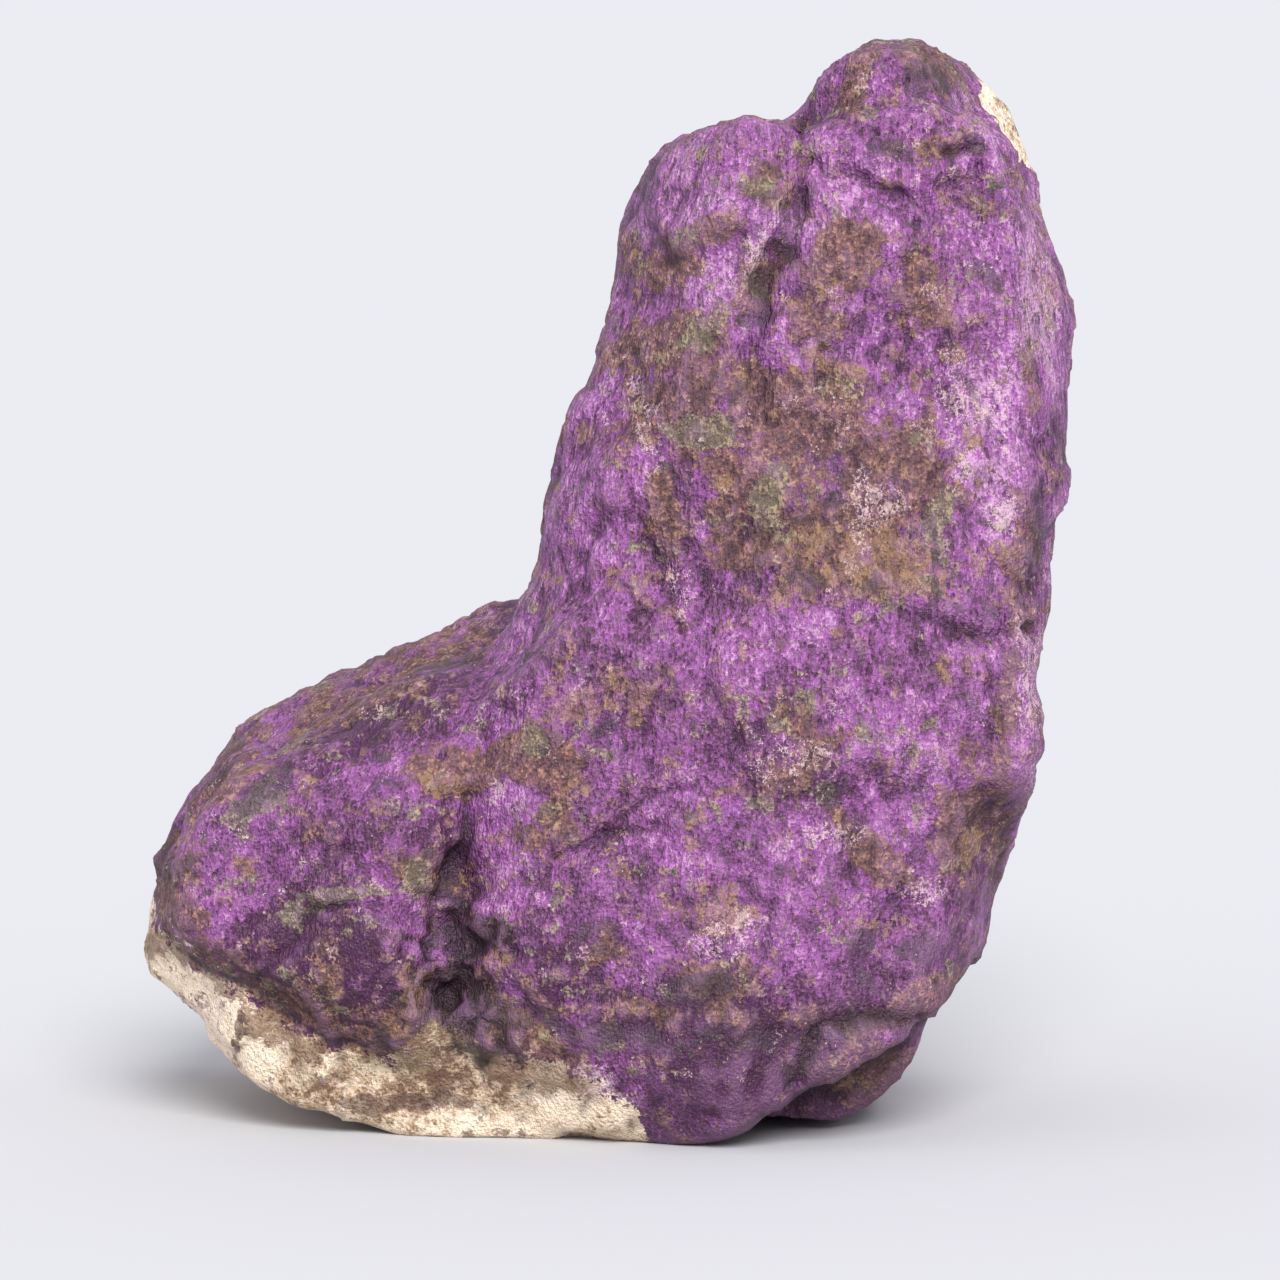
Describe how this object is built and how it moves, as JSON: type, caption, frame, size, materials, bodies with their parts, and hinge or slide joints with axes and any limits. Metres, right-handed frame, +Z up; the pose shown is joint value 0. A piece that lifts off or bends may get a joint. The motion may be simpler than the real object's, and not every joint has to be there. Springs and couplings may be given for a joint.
{
  "type": "purpurite specimen",
  "caption": "Boot-shaped hand specimen of purple phosphate rock on pale matrix, with a worn flat underside that it rests on.",
  "frame": {"origin": "on the resting plane under the middle of the stone", "axes": "+Z up through the crown; the front, which shows the most purple, faces -Y; the toe points to -X"},
  "size_m": [0.0582, 0.0346, 0.0668],
  "materials": {
    "purpurite": "rough cleaved phosphate, vivid violet with dark brown and ochre crust, white flecks, and cream matrix at the lower left"
  },
  "bodies": {
    "root": {"purpurite": "purpurite"}
  },
  "joints": []
}
